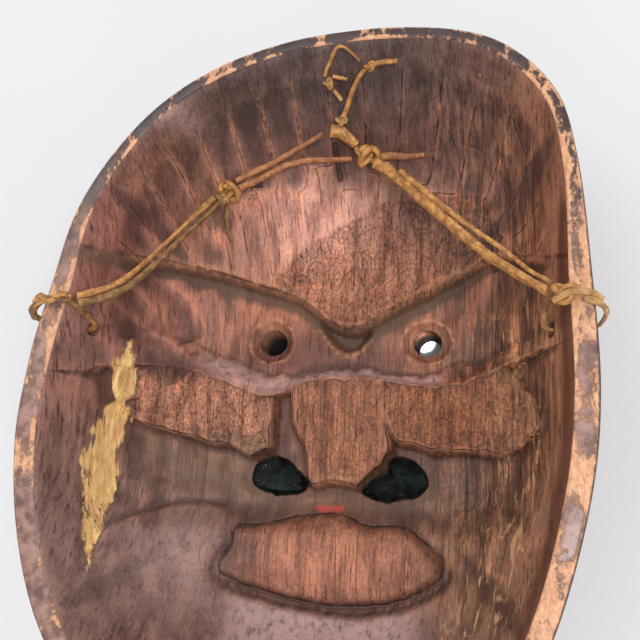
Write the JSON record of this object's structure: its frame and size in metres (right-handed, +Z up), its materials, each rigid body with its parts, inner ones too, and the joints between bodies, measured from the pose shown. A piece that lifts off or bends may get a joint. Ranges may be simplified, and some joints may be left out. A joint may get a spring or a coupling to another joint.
{
  "type": "carved wooden face mask",
  "caption": "Hollow carved wooden face mask lying face down, pierced at eyes and nostrils, with a knotted rawhide tie looped through its side rims.",
  "frame": {"origin": "on the floor under the middle of the mask's outline, the mask lying face down", "axes": "+Z up out of the hollow, +Y towards the forehead, +X towards the wearer's right-hand edge as seen looking into the hollow"},
  "size_m": [0.2035, 0.2622, 0.0916],
  "materials": {
    "carved_wood": "hand-gouged, oiled red-brown inside, dark worn lacquer on the rim and the face",
    "rawhide": "dry tan rawhide, creased and twisted",
    "dark_rawhide": "dark, stiff, blackened ends"
  },
  "bodies": {
    "mask": {"mask_shell": "carved_wood", "left_rim_loop": "rawhide", "right_rim_loop": "rawhide", "right_rim_knot": "rawhide"},
    "tie": {"left_upper_strand": "rawhide", "left_lower_strand": "rawhide", "left_knot_tail": "rawhide", "left_dark_stub": "dark_rawhide", "bridge_upper_strand": "rawhide", "bridge_lower_strand": "rawhide", "apex_strap": "rawhide", "apex_dark_stub": "dark_rawhide", "centre_knot_tail": "rawhide", "right_wide_strap": "rawhide", "right_narrow_strand": "rawhide", "left_knot": "rawhide", "centre_knot": "rawhide"},
    "hanging_string": {"string_stem": "rawhide", "string_end": "rawhide", "string_branch": "rawhide", "string_loop": "rawhide", "string_side_tail": "rawhide", "string_base_knot": "rawhide", "string_end_knot": "rawhide", "string_branch_knot": "rawhide"}
  },
  "joints": [
    {"name": "tie_swing", "type": "hinge", "parent": "mask", "child": "tie", "pos_m": [0, 0.0295, 0.0875], "axis": [1, 0, 0], "range_deg": [0, 180]},
    {"name": "string_swing", "type": "hinge", "parent": "tie", "child": "hanging_string", "pos_m": [0.0094, 0.1054, 0.0644], "axis": [1, 0, 0], "range_deg": [0, 90]}
  ]
}
